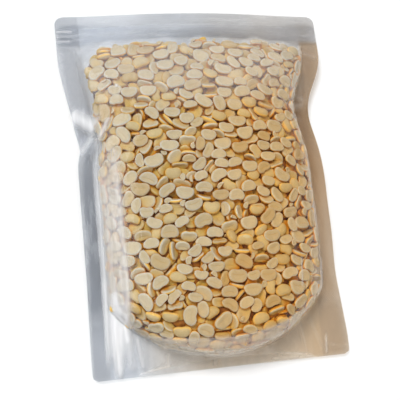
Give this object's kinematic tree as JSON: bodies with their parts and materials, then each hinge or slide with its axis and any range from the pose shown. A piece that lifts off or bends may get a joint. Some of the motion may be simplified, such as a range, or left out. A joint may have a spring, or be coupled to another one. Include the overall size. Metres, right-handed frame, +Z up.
{
  "type": "filled clear stand-up pouch of peeled split beans",
  "caption": "Clear stand-up zip pouch filled with peeled split beans, lying on its back, with sealed sides, curved gusset seam and open skirt.",
  "frame": {"origin": "on the table, under the middle of the pouch's box", "axes": "+Z up out of the front panel, +Y from the gusset end towards the zip, +X to the right as the front is read"},
  "size_m": [0.1652, 0.214, 0.036],
  "materials": {
    "film": "clear glossy film, slightly smoky, with matte heat seals",
    "beans": "cream peeled bean halves, satin",
    "zip": "clear ribbed strip"
  },
  "bodies": {
    "root": {"pouch": "film", "zip_front_strip": "zip", "zip_back_strip": "zip"}
  },
  "joints": []
}
